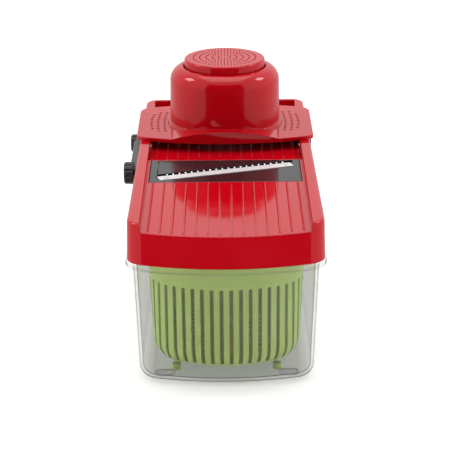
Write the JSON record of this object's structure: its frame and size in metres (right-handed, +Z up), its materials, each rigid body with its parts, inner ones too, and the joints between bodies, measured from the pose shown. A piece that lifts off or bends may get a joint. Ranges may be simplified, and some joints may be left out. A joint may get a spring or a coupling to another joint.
{
  "type": "mandoline slicer",
  "caption": "Ribbed slicing ramp with a slanted blade, dial-set thickness and julienne comb, sliding food guard, colander basket and clear catch box.",
  "frame": {"origin": "middle of the footprint, on the plane that the catch box's feet stand on", "axes": "+Z up, +Y from the blunt front end of the ramp towards the back wall, the two dials on the -X side"},
  "size_m": [0.1438, 0.319, 0.1734],
  "materials": {
    "clear_tub": "clear polished",
    "clear_pads": "clear polished",
    "green_basket": "semi-gloss",
    "red_frame": "high gloss",
    "steel_pins": "bright",
    "steel_posts": "bright",
    "spring_steel": "bright",
    "black_housing": "gloss",
    "screw_steel": "bright",
    "detent_steel": "bright",
    "black_bushes": "gloss",
    "red_ramp": "high gloss",
    "black_nose": "gloss",
    "nose_screw_steel": "bright",
    "black_thickness_knob": "gloss",
    "rod_steel": "bright",
    "white_cams": "natural acetal",
    "black_cap": "gloss",
    "black_julienne_knob": "gloss",
    "white_cam": "natural acetal",
    "black_carrier": "gloss",
    "teeth_steel": "bright",
    "black_insert": "gloss",
    "blade_steel": "polished",
    "rivet_steel": "bright",
    "red_guard": "high gloss",
    "red_sleeve": "high gloss",
    "sleeve_screw_steel": "bright",
    "red_cap": "high gloss",
    "black_spike_plate": "gloss",
    "spike_screw_steel": "bright",
    "spike_steel": "bright"
  },
  "bodies": {
    "box": {"container": "clear_tub", "container_feet": "clear_pads"},
    "basket": {"basket": "green_basket"},
    "slicer": {"slicer_frame": "red_frame", "ramp_guide_pins": "steel_pins", "comb_guide_posts": "steel_posts", "comb_springs": "spring_steel", "dial_housing": "black_housing", "housing_screws": "screw_steel", "detent_springs": "detent_steel", "shaft_bushes": "black_bushes"},
    "ramp": {"thickness_ramp": "red_ramp", "ramp_nose": "black_nose", "nose_screws": "nose_screw_steel"},
    "thickness_dial": {"thickness_knob": "black_thickness_knob", "thickness_rod": "rod_steel", "thickness_cams": "white_cams", "rod_end_cap": "black_cap"},
    "julienne_dial": {"julienne_knob": "black_julienne_knob", "julienne_cam": "white_cam"},
    "comb": {"comb_carrier": "black_carrier", "julienne_teeth": "teeth_steel"},
    "insert": {"blade_insert": "black_insert", "main_blade": "blade_steel", "blade_rivets": "rivet_steel"},
    "guard": {"guard_body": "red_guard", "guard_sleeve": "red_sleeve", "sleeve_screws": "sleeve_screw_steel"},
    "plunger": {"pusher_cap": "red_cap", "spike_plate": "black_spike_plate", "spike_screws": "spike_screw_steel", "food_spikes": "spike_steel"}
  },
  "joints": [
    {"name": "slicer_lift", "type": "slide", "parent": "box", "child": "slicer", "axis": [0, 0, 1], "range_m": [0, 0.2]},
    {"name": "basket_lift", "type": "slide", "parent": "box", "child": "basket", "axis": [0, 0, 1], "range_m": [0, 0.1]},
    {"name": "guard_slide", "type": "slide", "parent": "slicer", "child": "guard", "axis": [0, -1, 0], "range_m": [0, 0.18]},
    {"name": "plunger_slide", "type": "slide", "parent": "guard", "child": "plunger", "axis": [0, 0, 1], "range_m": [0, 0.035]},
    {"name": "insert_lift", "type": "slide", "parent": "slicer", "child": "insert", "axis": [0, 0, 1], "range_m": [0, 0.03]},
    {"name": "thickness_turn", "type": "hinge", "parent": "slicer", "child": "thickness_dial", "pos_m": [0, 0.076, 0.105], "axis": [1, 0, 0], "range_deg": [0, 240]},
    {"name": "ramp_drop", "type": "slide", "parent": "slicer", "child": "ramp", "axis": [0, 0, 1], "range_m": [-0.003, 0]},
    {"name": "julienne_turn", "type": "hinge", "parent": "slicer", "child": "julienne_dial", "pos_m": [0, 0.001, 0.105], "axis": [1, 0, 0], "range_deg": [0, 180]},
    {"name": "comb_drop", "type": "slide", "parent": "slicer", "child": "comb", "axis": [0, 0, 1], "range_m": [-0.0032, 0], "deforming": ["comb_springs"]}
  ],
  "couplings": [
    {"joint": "basket_lift", "follows": "slicer_lift", "ratio": 0.5},
    {"joint": "thickness_turn", "follows": "ramp_drop", "rad_per_m": -1396.2},
    {"joint": "julienne_turn", "follows": "comb_drop", "rad_per_m": -981.74}
  ]
}
